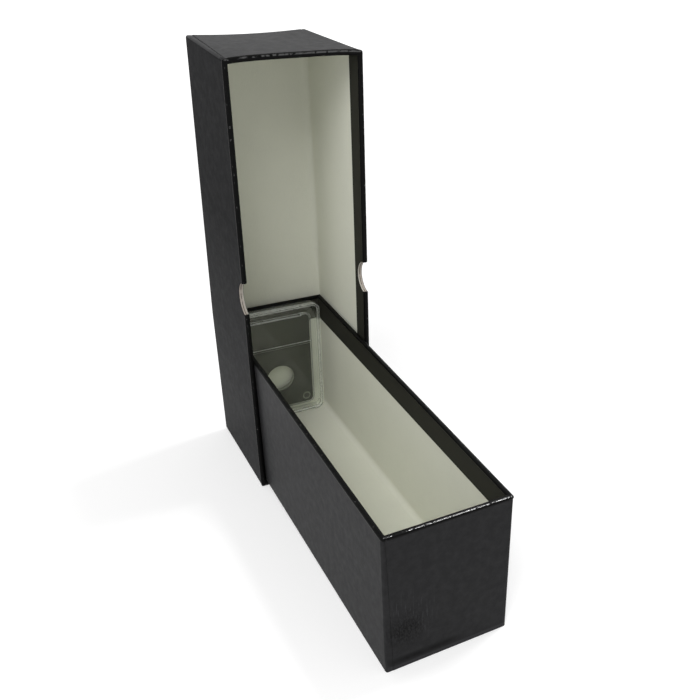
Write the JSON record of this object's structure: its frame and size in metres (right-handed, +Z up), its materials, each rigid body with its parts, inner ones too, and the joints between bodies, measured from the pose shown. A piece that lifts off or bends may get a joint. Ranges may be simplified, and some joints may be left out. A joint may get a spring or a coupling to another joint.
{
  "type": "coin holder storage box",
  "caption": "Rigid wrapped-board box for a single row of coin holders: tray lying in its stood-up deep lid, with one clear two-part holder.",
  "frame": {"origin": "centre of the lid's end panel, the face that it stands on", "axes": "+Z up along the stood lid, -Y out of the lid's mouth along the tray, +X to the right seen from the tray's near end"},
  "size_m": [0.076, 0.2544, 0.2592],
  "materials": {
    "black_paper": "embossed, satin",
    "chipboard": "raw cut edge",
    "white_paper": "matt",
    "gummed_paper": "matt",
    "clear_plastic": "polished, clear",
    "dark_insert": "fine matt"
  },
  "bodies": {
    "lid": {"lid_board": "chipboard", "lid_liner": "white_paper", "lid_wrap": "black_paper", "lid_stay_foot_left": "gummed_paper", "lid_stay_foot_right": "gummed_paper", "lid_stay_head_left": "gummed_paper", "lid_stay_head_right": "gummed_paper"},
    "tray": {"tray_board": "chipboard", "tray_liner": "white_paper", "tray_wrap": "black_paper", "tray_stay_front_left": "gummed_paper", "tray_stay_front_right": "gummed_paper", "tray_stay_rear_left": "gummed_paper", "tray_stay_rear_right": "gummed_paper"},
    "holder": {"holder_back": "clear_plastic"},
    "insert": {"coin_insert": "dark_insert"},
    "front_half": {"holder_front": "clear_plastic"}
  },
  "joints": [
    {"name": "tray_draw", "type": "slide", "parent": "lid", "child": "tray", "axis": [0, -1, 0], "range_m": [0, 0.09]},
    {"name": "holder_lift", "type": "slide", "parent": "tray", "child": "holder", "axis": [0, -0.017, 0.9999], "range_m": [0, 0.1]},
    {"name": "front_half_off", "type": "slide", "parent": "holder", "child": "front_half", "axis": [0, -0.9999, -0.017], "range_m": [0, 0.04]},
    {"name": "insert_out", "type": "slide", "parent": "holder", "child": "insert", "axis": [0, -0.9999, -0.017], "range_m": [0, 0.01]}
  ],
  "couplings": [
    {"joint": "insert_out", "follows": "front_half_off", "ratio": 0.25}
  ]
}
